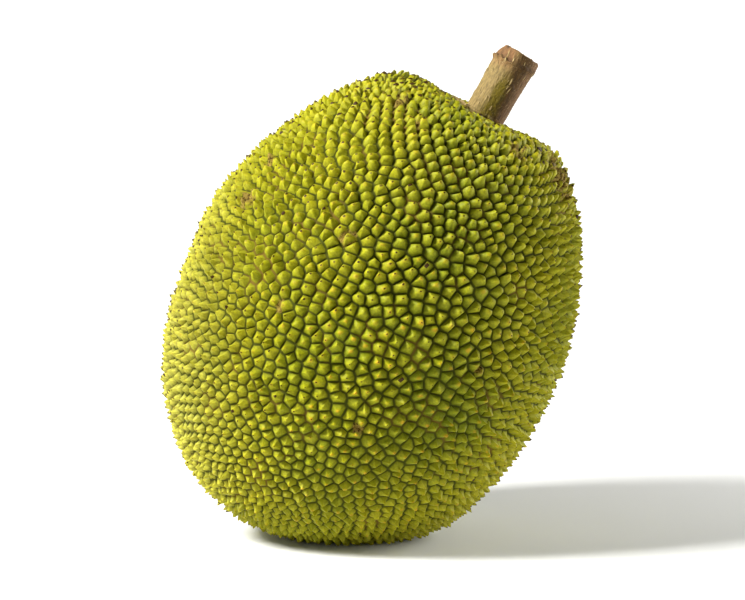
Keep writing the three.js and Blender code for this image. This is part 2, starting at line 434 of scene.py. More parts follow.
def rind_cells(tree, add, given, points):
    """One cell of the rind for each point, laid on the body. Each round centres the points in their cells."""
    def laid_cells(points):
        # A facet of the hull faces the corner where its three points' cells meet.
        facing = add(CAPTURE, domain="FACE").node
        facing.capture_items.new("VECTOR", "Corner")
        fill(facing, {
            "Geometry": add("GeometryNodeConvexHull", [points]), "Corner": add("GeometryNodeInputNormal")})
        corner = facing.outputs["Corner"]
        cells = add("GeometryNodeDualMesh", [facing.outputs["Geometry"]])
        inward = add(VECTOR, {0: corner, "Scale": -1.0}, "SCALE")
        ray = add("GeometryNodeRaycast", {
            "Target Geometry": given["Geometry"], "Source Position": corner, "Ray Direction": inward,
            "Ray Length": 1.0})
        return add(MOVE, {"Geometry": cells, "Position": ray.node.outputs["Hit Position"]})

    start = tree.nodes.new("GeometryNodeRepeatInput")
    end = tree.nodes.new("GeometryNodeRepeatOutput")
    start.pair_with_output(end)
    fill(start, {"Iterations": given["Relaxing"], "Geometry": points})
    middles = add("GeometryNodeMeshToPoints", {"Mesh": laid_cells(start.outputs["Geometry"])}, mode="FACES")
    unit = add(VECTOR, [add(POSITION)], "NORMALIZE")
    fill(end, {"Geometry": add(MOVE, {"Geometry": middles, "Position": unit})})
    return laid_cells(end.outputs["Geometry"])


def spine_facts(add, given, cells):
    """Captures what a spine needs to know of its cell: the middle and size, its own height along the normal,
    the shift of its tip, how plump and blunt it is, and a chance of its own."""
    position = add(POSITION)
    outside = add(VECTOR, [position], "NORMALIZE")
    up = add(SEPARATE, [outside]).node.outputs[2]
    from_stem = add(MATHS, [up], "ARCCOSINE")
    width = add(MATHS, [add("GeometryNodeInputMeshFaceArea")], "SQRT")
    chance = add(RANDOM, {2: -1.0, 3: 1.0, "Seed": given["Seed"]}, data_type="FLOAT")

    # Height: lower beside the stalk, at the back and at the foot, in step with the cell's width, and none
    # under the collar.
    tall = add(RANGE, [
        from_stem, radians(13), radians(30), given["Stem Height"], given["Spine Height"]], **SOFT)
    varied = add(MATHS, [chance, given["Height Variation"], 1.0], "MULTIPLY_ADD")
    by_width = add(RANGE, [width, 5 * MM, 10 * MM, 0.78, 1.12])
    from_stalk = add(VECTOR, [position, given["Seat"]], "SUBTRACT")
    from_stalk = add(VECTOR, [from_stalk, (1, 1, 0)], "MULTIPLY")
    from_stalk = add(VECTOR, [from_stalk], "LENGTH")
    clear = add(RANGE, [from_stalk, 24.5 * MM, 29 * MM], **SOFT)
    lower_half = add(MATHS, [up, 0.0], "LESS_THAN")
    clear = add(MATHS, [clear, lower_half], "MAXIMUM")
    tall_side = add(VECTOR, [outside, TALL_SIDE], "DOT_PRODUCT")
    by_side = add(RANGE, [tall_side, -0.4, 0.6, 0.88, 0.98], **SOFT)
    by_level = add(RANGE, [up, -0.9, -0.3, 0.9, 1.0], **SOFT)
    for factor in (varied, by_width, clear, by_side, by_level):
        tall = add(MATHS, [tall, factor], "MULTIPLY")
    normal = add("GeometryNodeInputNormal")
    axis = add(VECTOR, {0: normal, "Scale": tall}, "SCALE")

    # Shift of the tip: up the rind to the stem, and a little any way.
    stem = (0.0, 0.0, 1.0)
    stem_side = add(VECTOR, [stem, normal], "DOT_PRODUCT")
    off = add(VECTOR, {0: normal, "Scale": stem_side}, "SCALE")
    uphill = add(VECTOR, [stem, off], "SUBTRACT")
    uphill = add(VECTOR, [uphill], "NORMALIZE")
    leaning = add(RANGE, [from_stem, radians(16), radians(45), given["Stem Lean"], given["Lean"]], **SOFT)
    shift = add(VECTOR, {0: uphill, "Scale": leaning}, "SCALE")
    stray = add(RANDOM, {0: (-1, -1, -1), 1: (1, 1, 1), "Seed": given["Seed"]}, data_type="FLOAT_VECTOR")
    stray = add(VECTOR, {0: stray, "Scale": given["Wander"]}, "SCALE")
    shift = add(VECTOR, [shift, stray], "ADD")
    for factor in (width, clear):
        shift = add(VECTOR, {0: shift, "Scale": factor}, "SCALE")

    # The groove comes off the foot's width, and some spines are plumper than others.
    groove = add(MATHS, [given["Groove"], width], "DIVIDE")
    foot = add(MATHS, [1.0, groove], "SUBTRACT")
    plump_seed = add(MATHS, [given["Seed"], 1.0], "ADD")
    plump = add(RANDOM, {2: 0.9, 3: 1.1, "Seed": plump_seed}, data_type="FLOAT")
    rounded = add(VECTOR, [outside, ROUND_SIDE], "DOT_PRODUCT")
    rounded = add(RANGE, [rounded, 0.35, 0.9, 0.72, 1.0], **SOFT)
    plump = add(MATHS, [plump, rounded], "MULTIPLY")
    # Blunter beside the stalk, where they are short and club-shaped.
    blunt = add(RANGE, [from_stem, radians(12), radians(45), given["Stem Bluntness"], 1.0], **SOFT)
    # Radius of the circle that has the cell's area.
    radius = add(MATHS, [width, 1 / sqrt(pi)], "MULTIPLY")
    capture = add(CAPTURE, domain="FACE").node
    vectors = {"Middle": position, "Axis": axis, "Shift": shift}
    floats = {"Radius": radius, "Foot": foot, "Plump": plump, "Chance": chance, "Blunt": blunt}
    for name in (*vectors, *floats):
        capture.capture_items.new("VECTOR" if name in vectors else "FLOAT", name)
    fill(capture, {"Geometry": cells, **vectors, **floats})
    return capture.outputs


def packed_spines(values, material):
    """Covers a smooth body with packed spines, each grown from its own cell of the rind."""
    tree, add, given = new_tree("Packed spines", values)
    facts = spine_facts(add, given, rind_cells(tree, add, given, spiral_directions(add, given)))
    mesh = add(STORE, {"Geometry": facts["Geometry"], "Name": "spine chance", "Value": facts["Chance"]},
               data_type="FLOAT", domain="FACE")
    mesh = add(STORE, {"Geometry": mesh, "Name": "rise", "Value": 0.0}, data_type="FLOAT", domain="POINT")
    wide, high, over = 1.0, 0.0, 0.0
    top = None
    for ring, (next_wide, next_high, next_over, roundness) in enumerate(SPINE_RINGS):
        rise = add(VECTOR, {0: facts["Axis"], "Scale": next_high - high}, "SCALE")
        shift = add(VECTOR, {0: facts["Shift"], "Scale": next_over - over}, "SCALE")
        offset = add(VECTOR, [rise, shift], "ADD")
        selection = {} if top is None else {"Selection": top}
        grown = add("GeometryNodeExtrudeMesh", {
            "Mesh": mesh, "Offset": offset, "Offset Scale": 1.0, "Individual": True, **selection},
            mode="FACES")
        top = grown.node.outputs["Top"]
        plump = facts["Plump"] if ring else facts["Foot"]
        narrower = add(MATHS, [plump, next_wide / wide], "MULTIPLY")
        circle = add(MATHS, [facts["Radius"], CIRCLE_SIZE * next_wide], "MULTIPLY")
        if ring:
            circle = add(MATHS, [circle, plump], "MULTIPLY")
        if ring == BLUNTED_RING:
            narrower = add(MATHS, [narrower, facts["Blunt"]], "MULTIPLY")
            circle = add(MATHS, [circle, facts["Blunt"]], "MULTIPLY")
        mesh = add("GeometryNodeScaleElements", {"Geometry": grown, "Selection": top, "Scale": narrower},
                   domain="FACE")

        # Corners and sides of the ring move part of the way to a circle.
        centre = facts["Middle"]
        for vector, way in (("Axis", next_high), ("Shift", next_over)):
            centre = add(VECTOR, [facts[vector], (way, way, way), centre], "MULTIPLY_ADD")
        spoke = add(VECTOR, [add(POSITION), centre], "SUBTRACT")
        spoke_length = add(VECTOR, [spoke], "LENGTH")
        missing = add(MATHS, [circle, spoke_length], "SUBTRACT")
        missing = add(MATHS, [missing, roundness], "MULTIPLY")
        outward = add(VECTOR, [spoke], "NORMALIZE")
        outward = add(VECTOR, {0: outward, "Scale": missing}, "SCALE")
        mesh = add(MOVE, {"Geometry": mesh, "Selection": top, "Offset": outward})
        mesh = add(STORE, {"Geometry": mesh, "Selection": top, "Name": "rise", "Value": next_high},
                   data_type="FLOAT", domain="POINT")
        wide, high, over = next_wide, next_high, next_over

    # The last ring closes to a point, and the flanks get waves 5 mm long.
    mesh = add("GeometryNodeMergeByDistance", {"Geometry": mesh, "Selection": top, "Distance": 0.01 * MM})
    wave = add(NOISE, {"Scale": 1 / (5 * MM), "Detail": 1.0}).node.outputs["Color"]
    wave = add(VECTOR, [wave, (0.5, 0.5, 0.5)], "SUBTRACT")
    for factor in (given["Waver"], NOISE_STRETCH):
        wave = add(VECTOR, {0: wave, "Scale": factor}, "SCALE")
    mesh = add(MOVE, {"Geometry": mesh, "Offset": wave})
    # Ridges are creased where they are sharp, and rounder at the front, where the spines are plump.
    mesh = add("GeometryNodeSetShadeSmooth", {"Geometry": mesh, "Shade Smooth": True}, domain="FACE")
    outside = add(VECTOR, [add(POSITION)], "NORMALIZE")
    front = add(VECTOR, [outside, ROUND_SIDE], "DOT_PRODUCT")
    ridge_angle = add(RANGE, [front, 0.45, 0.85, radians(24), radians(60)])
    crease = add(MATHS, [add("GeometryNodeInputMeshEdgeAngle"), ridge_angle], "GREATER_THAN")
    mesh = add("GeometryNodeSetShadeSmooth", {
        "Geometry": mesh, "Selection": crease, "Shade Smooth": False}, domain="EDGE")
    finish_tree(tree, mesh, material)
    return tree


def grown_rind(body, rind):
    """Jackfruit rind, grown: leathery and waxy. Its green flanks shine softly over dark grooves, and many of
    its spines ripen to orange around a dried brown point."""
    material, add = new_material("Grown jackfruit rind")
    rise, chance = [
        add(ATTRIBUTE, attribute_name=name).node.outputs["Fac"] for name in ("rise", "spine chance")]
    place = add("ShaderNodeTexCoord").node.outputs["Object"]
    x, y, z = add(SEPARATE, [place]).node.outputs

    # Patches about 60 mm wide ripen at their own pace, and so does each spine. The sunny side, the right
    # edge, the low end and the tips lead.
    patches = add(NOISE, {"Vector": place, "Scale": 1 / (60 * MM), "Detail": 3.0})
    patches = add(RANGE, [patches, 0.35, 0.65, 0.0, 0.28], **SOFT)
    own = add("ShaderNodeTexWhiteNoise", {"W": chance}, noise_dimensions="1D")
    ripe = add(MATHS, [own, 0.3, patches], "MULTIPLY_ADD")
    sunny = add(VECTOR, [place, SUNNY_SIDE], "DOT_PRODUCT")
    sunny = add(RANGE, [sunny, 20 * MM, 170 * MM, 0.0, 0.45], **SOFT)
    right = add(RANGE, [x, 60 * MM, 130 * MM, 0.0, 0.4], **SOFT)
    low = add(RANGE, [z, 100 * MM, 20 * MM, 0.0, 0.36], **SOFT)
    ripe_tip = add(RANGE, [rise, 0.4, 1.0, 0.0, 0.25], **SOFT)
    for lead in (sunny, right, low, ripe_tip):
        ripe = add(MATHS, [ripe, lead], "ADD")
    # Painted sheen: towards the left edge, where the key lamp grazes it, the flanks turn pale cream.
    lit_sheen = add(RANGE, [x, -55 * MM, -125 * MM, 0.0, 0.36], **SOFT)
    flank = rind.green
    for cover, layer in ((ripe, rind.yellow), (lit_sheen, rind.lit_sheen)):
        flank = add(MIX, {0: cover, 6: flank, 7: layer}, **COLOURS)
    # Mottling 1.4 mm wide, from wax and lenticels.
    mottle = add(NOISE, {"Vector": place, "Scale": 1 / (1.4 * MM), "Detail": 4.0})
    mottle = add(RANGE, [mottle, 0.32, 0.68, 0.82, 1.14], **SOFT)
    # Painted shade and light: a spine's foot is painted darker and its top lighter, so each one stands clear
    # of the next. On the left flank, under the painted sheen, the two are further apart.
    foot_shade = add(MATHS, [lit_sheen, -0.6, 0.78], "MULTIPLY_ADD")
    top_shade = add(MATHS, [lit_sheen, 0.35, 1.11], "MULTIPLY_ADD")
    shade = add(RANGE, [rise, 0.1, 0.65, foot_shade, top_shade], **SOFT)
    for factor in (mottle, shade):
        flank = add(VECTOR, {0: flank, "Scale": factor}, "SCALE")
    # The grooves are their own dark green, darkened further as painted shade, and brown in patches about 25
    # mm wide where they have dried.
    drying = add(NOISE, {"Vector": place, "Scale": 1 / (25 * MM), "Detail": 5.0})
    drying = add(MATHS, [sunny, 0.1, drying], "MULTIPLY_ADD")
    drying = add(RANGE, [drying, 0.53, 0.74], **SOFT)
    groove = add(MIX, {0: drying, 6: rind.groove_and_shade, 7: rind.dry}, **COLOURS)
    out_of_groove = add(RANGE, [rise, 0.02, 0.2], **SOFT)
    # Ripening rings, strongest at the front, from a second chance of each spine's own.
    other = add(MATHS, [chance, 3.7, 5.0], "MULTIPLY_ADD")
    other = add("ShaderNodeTexWhiteNoise", {"W": other}, noise_dimensions="1D")
    front = add(VECTOR, [place, RINGED_SIDE], "DOT_PRODUCT")
    front = add(RANGE, [front, 20 * MM, 90 * MM, 0.25, 0.85], **SOFT)
    other = add(RANGE, [other, 0.35, 1.0, 0.0, front], **SOFT)
    ring = add(RANGE, [rise, 0.66, 0.94, 0.0, other], **SOFT)
    # Dried points of all strengths, about 1 mm wide. On one spine in 70 they spread down the flanks, and they
    # are larger on the sunny side, at the right edge, and on the sides and back, where handling rubs them.
    dried = add(RANGE, [own, 0.15, 0.85, 0.0, 1.0], **SOFT)
    start = add(RANGE, [own, 0.985, 1.0, 0.93, 0.72], **SOFT)
    start = add(MATHS, [sunny, -0.18, start], "MULTIPLY_ADD")
    start = add(MATHS, [right, -0.1, start], "MULTIPLY_ADD")
    rubbed = add(RANGE, [y, -60 * MM, -30 * MM, 0.0, 0.1], **SOFT)
    start = add(MATHS, [start, rubbed], "SUBTRACT")
    end = add(MATHS, [start, 0.05], "ADD")
    dried = add(RANGE, [rise, start, end, 0.0, dried], **SOFT)

    # Scabs: where one lies, flanks and grooves turn to cork with a ragged edge and dark cracks.
    ragged = add(NOISE, {"Vector": place, "Scale": 1 / (5 * MM), "Detail": 5.0})
    scabbed = 0.0
    for polar, azimuth, radius in SCABS:
        out = direction(polar, azimuth)
        centre = resting_place(body) @ Vector(out * rind_radius(out[None], body)[0])
        away = add(VECTOR, [place, centre], "DISTANCE")
        patch = add(RANGE, [away, 0.0, radius * MM, 0.55, 0.0])
        scabbed = add(MATHS, [patch, scabbed], "MAXIMUM")
    scab = add(MATHS, [scabbed, ragged], "ADD")
    scab = add(RANGE, [scab, 0.72, 0.92], **SOFT)
    cracks = add(NOISE, {"Vector": place, "Scale": 1 / (1.5 * MM), "Detail": 3.0})
    cracks = add(RANGE, [cracks, 0.35, 0.55], **SOFT)
    cork = add(MIX, {0: cracks, 6: rind.point, 7: rind.cork}, **COLOURS)
    skin = groove
    for cover, layer in ((out_of_groove, flank), (ring, rind.tip), (dried, rind.point), (scab, cork)):
        skin = add(MIX, {0: cover, 6: skin, 7: layer}, **COLOURS)

    # Waxed flanks shine, and grooves and scabs are dull.
    dull = add(RANGE, [rise, 0.05, 0.5, 1.0, 0.0], **SOFT)
    dull = add(MATHS, [dull, scab], "MAXIMUM")
    roughness = add(RANGE, [dull, 0.0, 1.0, 0.56, 0.9])
    grain = add(NOISE, {"Vector": place, "Scale": 1 / (1.2 * MM), "Detail": 5.0})
    bump = add(BUMP, {"Strength": 0.45, "Distance": 0.45 * MM, "Height": grain})
    return finish_material(material, {
        "Base Color": skin, "Roughness": roughness, "IOR": 1.42, "Specular IOR Level": 0.25, "Normal": bump})


class JACKFRUIT_OT_rind(bpy.types.Operator):
    """Builds the spiny rind on the fruit's body"""
    bl_idname = "jackfruit.rind"
    bl_label = "Spiny rind"

    def execute(self, context):
        body, rind = context.scene.jackfruit_body, context.scene.jackfruit_rind
        carrier = placed(smooth_body(body), "rind body")
        sides, ends = 1 + rind.side_crowding, 1 + rind.end_crowding
        values = {
            "Spines": rind.spine_count, "Relaxing": rind.relaxing, "Seed": rind.seed,
            "Scatter": rind.scatter, "Twist": rind.twist,
            "Proportions": (body.half_width * sides, body.half_depth, body.half_length * ends),
            "Crowded Side": (-rind.left_crowding, -rind.front_crowding, 0.0),
            "Stem Crowding": rind.stem_crowding, "Seat": (body.stalk_offset, 0.0, 0.0),
            "Spine Height": rind.spine_height, "Stem Height": rind.stem_height,
            "Height Variation": rind.height_variation, "Groove": rind.groove, "Lean": rind.lean,
            "Stem Lean": rind.stem_lean, "Stem Bluntness": rind.stem_bluntness, "Wander": rind.wander,
            "Waver": rind.waver,
        }
        piece = grow(carrier, packed_spines(values, grown_rind(body, rind)), values, "spiny_rind")
        piece.data.transform(resting_place(body))
        points = mesh_points(piece.data)
        points[:, 2] = np.maximum(points[:, 2], 0)
        move_points(piece.data, points)
        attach(piece, "root")
        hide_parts("fruit")
        return {"FINISHED"}


# ---- Stalk -----------------------------------------------------------------------------------------

def soft_step(value, low, high):
    """0 up to low and 1 from high on, with a soft climb between them."""
    way = min(max((value - low) / (high - low), 0), 1)
    return way * way * (3 - 2 * way)


def bump_at(value, middle, width):
    """A smooth bump: 1 in the middle, falling away on both sides."""
    return exp(-((value - middle) / width) ** 2)


def waves(x, y, z, across, along):
    """Smooth noise about -1 to 1, with waves of one width across the stalk and another along it."""
    return 2 * noise.noise(Vector((x / across, y / across, z / along)))


def stalk_rows(stalk):
    """Rows up the stalk, as radius and height: the thin collar, the flaring shaft, then in over the cut."""
    rim, rise = stalk.collar_radius, stalk.collar_height
    root, bevel = 5 * MM, 0.8 * MM
    # Corners of the collar: up its outside, over the rim, and down its trough to the root of the shaft.
    corners = [
        (rim - 5 * MM, 0), (rim, rise - 1.6 * MM), (rim - 0.8 * MM, rise), (rim - 5.5 * MM, rise - 1.6 * MM),
        (stalk.base_radius + 1.5 * MM, rise - 1.3 * MM), (stalk.base_radius, root)]
    row_step, shaft_rows, cut_rows = 0.45 * MM, 112, 30
    rows = []
    for (r0, z0), (r1, z1) in zip(corners, corners[1:]):
        steps = max(2, round(np.hypot(r1 - r0, z1 - z0) / row_step))
        rows += [(r0 + (r1 - r0) * k / steps, z0 + (z1 - z0) * k / steps) for k in range(steps)]
    for z in np.linspace(root, stalk.height - bevel, shaft_rows):
        flare = stalk.base_radius + (stalk.top_radius - stalk.base_radius) * (z / stalk.height) ** 3
        # The ring swells fast, and thins slowly towards the cut.
        reach = 1.9 * MM if z < stalk.ring_height else 4 * MM
        rows.append((flare + stalk.ring_swell * bump_at(z, stalk.ring_height, reach), z))
    edge = stalk.top_radius - bevel
    rows.append((edge + 0.45 * MM, stalk.height - 0.3 * MM))
    rows += [(edge * (1 - k / cut_rows), stalk.height) for k in range(cut_rows)]
    return rows


def collar_relief(stalk, x, y, z, r):
    """How far the collar stands out and up at a place: it is torn unevenly along its rim."""
    rim = soft_step(r, stalk.base_radius + 4 * MM, stalk.collar_radius)
    upper = soft_step(z, 1 * MM, 3 * MM)
    out = rim * (0.8 * MM * waves(x, y, 0, 2.2 * MM, 1) + 0.7 * MM * waves(x, y, 0, 7 * MM, 1) - 0.3 * MM)
    rise = rim * 0.6 * MM * waves(x, y, 0, 4 * MM, 1) * upper
    return out, rise - rim * COLLAR_TILT * x * upper


def bark_relief(stalk, a, x, y, z):
    """At a place on the shaft: how far the bark stands out, how torn it is, and its cracks and painted
    shadow.
    """
    # Under the cut the bark is torn off on the left, along a line with a lip under it and a crack over it.
    line = stalk.ring_height + 0.9 * MM * waves(x, y, 0, 2.5 * MM, 1)
    side = soft_step(-x + 1.2 * MM * waves(x, y, z, 2 * MM, 3 * MM), 1.4 * MM, 3.0 * MM)
    tear = side * soft_step(z, line, line + 0.7 * MM)
    lip = side * bump_at(z, line - 0.7 * MM, 0.7 * MM)
    crack_and_shadow = side * bump_at(z, line + 0.5 * MM, 0.45 * MM)
    from_knot = np.hypot((a - KNOT_AZIMUTH) * stalk.top_radius, z - stalk.height + 0.4 * MM)
    crack_and_shadow = max(crack_and_shadow, bump_at(from_knot, 0, KNOT_RADIUS))

    # A raised scale is thickest at its upper edge, along which a dark line is painted as the shadow of that
    # edge.
    out = 0
    for azimuth, top, half_width, run in BARK_SCALES:
        off_middle = (a - radians(azimuth) + pi) % (2 * pi) - pi
        u = off_middle * stalk.base_radius / (half_width * MM)
        if abs(u) < 1:
            below = (top - 0.7 * half_width * u * u) * MM - z + 0.5 * MM * waves(x, y, 0, 1.5 * MM, 1)
            within = soft_step(1 - abs(u), 0, 0.25)
            if below > 0:
                out += 0.5 * MM * within * exp(-below / (run * MM))
            crack_and_shadow = max(crack_and_shadow, 0.7 * within * bump_at(below, 0, 0.45 * MM))

    # Ridges of three sizes, with furrows between them.
    ridges = 0.3 * waves(x, y, z, 1.2 * MM, 7 * MM) + 0.35 * waves(x, y, z, 7 * MM, 15 * MM)
    ridges += 0.35 * waves(x, y, z, 0.9 * MM, 1.4 * MM)
    furrow = max(0, 0.16 - abs(waves(x, y, z + 40 * MM, 2.6 * MM, 17 * MM))) / 0.16
    crack_and_shadow = max(crack_and_shadow, 0.3 * furrow * soft_step(waves(x, y, z, 5 * MM, 9 * MM), -0.2, 0.5))
    ridges -= 0.6 * furrow
    out += stalk.roughness * ridges * (1 - 0.5 * tear) + 0.45 * MM * lip
    out -= stalk.tear * tear * (1 - 0.6 * soft_step(z, line, stalk.height))
    return out, tear, crack_and_shadow


def stalk_mesh(stalk):
    """The stalk about its own axis, with its collar, ridged bark, the tear under the cut and the cut itself.
    Keeps, for the bark, each point's place before the lean, how torn it is, and its cracks and painted
    shadow."""
    sides = 216
    rows = stalk_rows(stalk)
    cut_row = next(k for k, (r, z) in enumerate(rows) if z >= stalk.height)
    points, places, torn, cracks_and_shadow = [], [], [], []
    for row, (r, z) in enumerate(rows):
        for side in range(sides):
            a = 2 * pi * side / sides
            x, y = r * cos(a), r * sin(a)
            out, rise, tear, crack_and_shadow = 0, 0, 0, 0
            if row >= cut_row:
                rise = 0.25 * MM * waves(x, y, 0, 1.3 * MM, 1) + 0.3 * MM * waves(x, y, 0, 5 * MM, 1)
            elif z > stalk.collar_height:
                out, tear, crack_and_shadow = bark_relief(stalk, a, x, y, z)
            else:
                out, rise = collar_relief(stalk, x, y, z, r)
            lean = tan(stalk.lean) * max(0, z - stalk.collar_height)
            # The cut drops a little to the right, and slants down over its left edge.
            leftward = max(0, -x / stalk.top_radius - 0.74) / 0.26
            drop = (stalk.slant * leftward + 0.07 * x) * soft_step(z, stalk.ring_height, stalk.height)
            points.append(((r + out) * cos(a) + lean, (r + out) * sin(a), z + rise - drop))
            places.append((x, y, z))
            torn.append(tear)
            cracks_and_shadow.append(crack_and_shadow)
    faces = [list(reversed(range(sides)))]
    for low in range(0, (len(rows) - 1) * sides, sides):
        for side in range(sides):
            following = (side + 1) % sides
            high = low + sides
            faces.append([low + side, low + following, high + following, high + side])
    faces.append(list(range((len(rows) - 1) * sides, len(rows) * sides)))
    mesh = bpy.data.meshes.new("cut_stalk")
    mesh.from_pydata(points, [], faces)
    mesh.attributes.new("stalk place", "FLOAT_VECTOR", "POINT").data.foreach_set("vector", np.ravel(places))
    for name, values in (("torn", torn), ("cracks_and_shadow", cracks_and_shadow)):
        mesh.attributes.new(name, "FLOAT", "POINT").data.foreach_set("value", values)
    mesh.shade_smooth()
    for face in mesh.polygons[1 + (cut_row - 1) * sides:]:
        face.material_index = 1
    return mesh


def on_the_fruit(body, stalk):
    """The turn and shift from the stalk's own axis to where it stands on the resting fruit."""
    return resting_place(body) @ Matrix.Translation((body.stalk_offset, 0, body.seat_height + stalk.gap))


def dried_bark(stalk):
    """Bark of a jackfruit stalk, dried after picking: dull and fibrous, painted pale as lit on the left and
    brown as shaded on the right, still olive near the fruit, and orange inside where it is torn."""
    material, add = new_material("Dried stalk bark")
    place = add(ATTRIBUTE, attribute_name="stalk place").node.outputs["Vector"]
    torn, cracks_and_shadow = [
        add(ATTRIBUTE, attribute_name=name).node.outputs["Fac"] for name in ("torn", "cracks_and_shadow")]
    x, _, z = add(SEPARATE, [place]).node.outputs

    # Painted light and shade: bark changes from pale on the lit left to brown on the shaded right across the
    # front, and to pink at the right edge.
    wander = add(NOISE, {"Vector": place, "Scale": 1 / (6 * MM), "Detail": 3.0})
    wander = add(MATHS, [wander, 6 * MM, -3 * MM], "MULTIPLY_ADD")
    across = add(MATHS, [x, wander], "ADD")
    shaded = add(RANGE, [across, -4 * MM, 3 * MM], **SOFT)
    right = add(RANGE, [across, 7 * MM, 13 * MM, 0.0, 0.4], **SOFT)
    # An olive streak up the middle, widest at the fruit, on both the front and the back.
    width = add(RANGE, [z, 0.0, 30 * MM, 10 * MM, 4.5 * MM])
    off_streak = add(MATHS, [across], "ABSOLUTE")
    streak = add(RANGE, [off_streak, 2 * MM, width, 1.0, 0.0], **SOFT)
    low = add(RANGE, [z, 25 * MM, 40 * MM, 1.0, 0.0], **SOFT)
    streak = add(MATHS, [streak, low], "MULTIPLY")
    # Orange under the cut, on the left.
    high = add(RANGE, [z, 34 * MM, 42 * MM, 0.0, 0.7], **SOFT)
    left = add(RANGE, [shaded, 0.0, 1.0, 1.0, 0.0])
    orange = add(MATHS, [high, left], "MULTIPLY")
    orange = add(MATHS, [orange, torn], "MAXIMUM")
    bark = stalk.pale
    for cover, layer in (
            (shaded, stalk.brown), (right, stalk.pink), (streak, stalk.olive), (orange, stalk.orange)):
        bark = add(MIX, {0: cover, 6: bark, 7: layer}, **COLOURS)

    # Fibres 0.7 mm wide and 3.5 mm long, and scuffed flecks a third as long.
    fibres, flecks = [
        add(NOISE, {"Vector": add(VECTOR, [place, size], "DIVIDE"), "Scale": 1.0, "Detail": detail})
        for size, detail in (((0.7 * MM, 0.7 * MM, 3.5 * MM), 4.0), ((0.5 * MM, 0.5 * MM, 1.2 * MM), 2.0))]
    shade = add(RANGE, [fibres, 0.3, 0.7, 0.55, 1.3])
    bark = add(VECTOR, {0: bark, "Scale": shade}, "SCALE")
    flecks = add(RANGE, [flecks, 0.6, 0.72, 0.0, 0.45], **SOFT)
    bark = add(MIX, {0: flecks, 6: bark, 7: stalk.fleck}, **COLOURS)
    split_fibres = add(RANGE, [fibres, 0.36, 0.29, 0.0, 0.7], **SOFT)
    dark = add(MATHS, [split_fibres, cracks_and_shadow], "MAXIMUM")
    # Painted shade: the trough behind the collar's rim is darkened with the crack colour.
    foot, rim = stalk.base_radius, stalk.collar_radius
    away = add(VECTOR, [place, (1, 1, 0)], "MULTIPLY")
    away = add(VECTOR, [away], "LENGTH")
    trough_shade = add(RANGE, [away, foot + 1 * MM, foot + 2 * MM, 0.0, 0.75], **SOFT)
    inside = add(RANGE, [away, rim - 4 * MM, rim - 1.5 * MM, 1.0, 0.25], **SOFT)
    collar = add(RANGE, [z, stalk.collar_height, 5 * MM, 1.0, 0.0])
    for limit in (inside, collar):
        trough_shade = add(MATHS, [trough_shade, limit], "MULTIPLY")
    dark = add(MATHS, [dark, trough_shade], "MAXIMUM")
    bark = add(MIX, {0: dark, 6: bark, 7: stalk.crack_and_shadow}, **COLOURS)
    relief = add(MATHS, [fibres, flecks], "ADD")
    bump = add(BUMP, {"Strength": 0.6, "Distance": 0.35 * MM, "Height": relief})
    return finish_material(material, {
        "Base Color": bark, "Roughness": 0.75, "Specular IOR Level": 0.3, "Normal": bump})


def sawn_stalk(stalk):
    """Soft pithy wood, sawn: matt, pale and pinkish, with faint growth rings and a brown skin of bark."""
    material, add = new_material("Sawn stalk wood")
    place = add(ATTRIBUTE, attribute_name="stalk place").node.outputs["Vector"]
    flat = add(VECTOR, [place, (1, 1, 0)], "MULTIPLY")
    from_pith = add(VECTOR, [flat], "LENGTH")
    blotches = add(NOISE, {"Vector": flat, "Scale": 1 / (3 * MM), "Detail": 4.0})
    # Growth rings 1.6 mm apart, wavering by a fraction of that.
    rings = add(MATHS, [blotches, 1.5 * MM, from_pith], "MULTIPLY_ADD")
    rings = add(MATHS, [rings, 2 * pi / (1.6 * MM)], "MULTIPLY")
    rings = add(MATHS, [rings], "SINE")
    shade = add(RANGE, [rings, -1.0, 1.0, 0.82, 1.05])
    wood = add(VECTOR, {0: stalk.wood[:3], "Scale": shade}, "SCALE")
    stained = add(RANGE, [blotches, 0.5, 0.7, 0.0, 0.4], **SOFT)
    wood = add(MIX, {0: stained, 6: wood, 7: stalk.orange}, **COLOURS)
    # The skin of bark around the cut, and the pith, are brown.
    edge = stalk.top_radius - 0.8 * MM
    skin = add(RANGE, [from_pith, edge - 0.3 * MM, edge + 0.3 * MM], **SOFT)
    pith = add(RANGE, [from_pith, 1.2 * MM, 2.6 * MM, 0.8, 0.0], **SOFT)
    for brown in (skin, pith):
        wood = add(MIX, {0: brown, 6: wood, 7: stalk.brown}, **COLOURS)
    fuzz = add(NOISE, {"Vector": place, "Scale": 1 / (0.6 * MM), "Detail": 4.0})
    bump = add(BUMP, {"Strength": 0.5, "Distance": 0.3 * MM, "Height": fuzz})
    return finish_material(material, {
        "Base Color": wood, "Roughness": 0.85, "Specular IOR Level": 0.25, "Normal": bump})


class JACKFRUIT_OT_stalk(bpy.types.Operator):
    """Builds the cut stalk with its collar"""
    bl_idname = "jackfruit.stalk"
    bl_label = "Cut stalk"

    def execute(self, context):
        body, stalk = context.scene.jackfruit_body, context.scene.jackfruit_stalk
        piece = placed(stalk_mesh(stalk), "cut_stalk")
        piece.data.materials.append(dried_bark(stalk))
        piece.data.materials.append(sawn_stalk(stalk))
        piece.data.transform(on_the_fruit(body, stalk))
        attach(piece, "root")
        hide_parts("stalk")
        return {"FINISHED"}


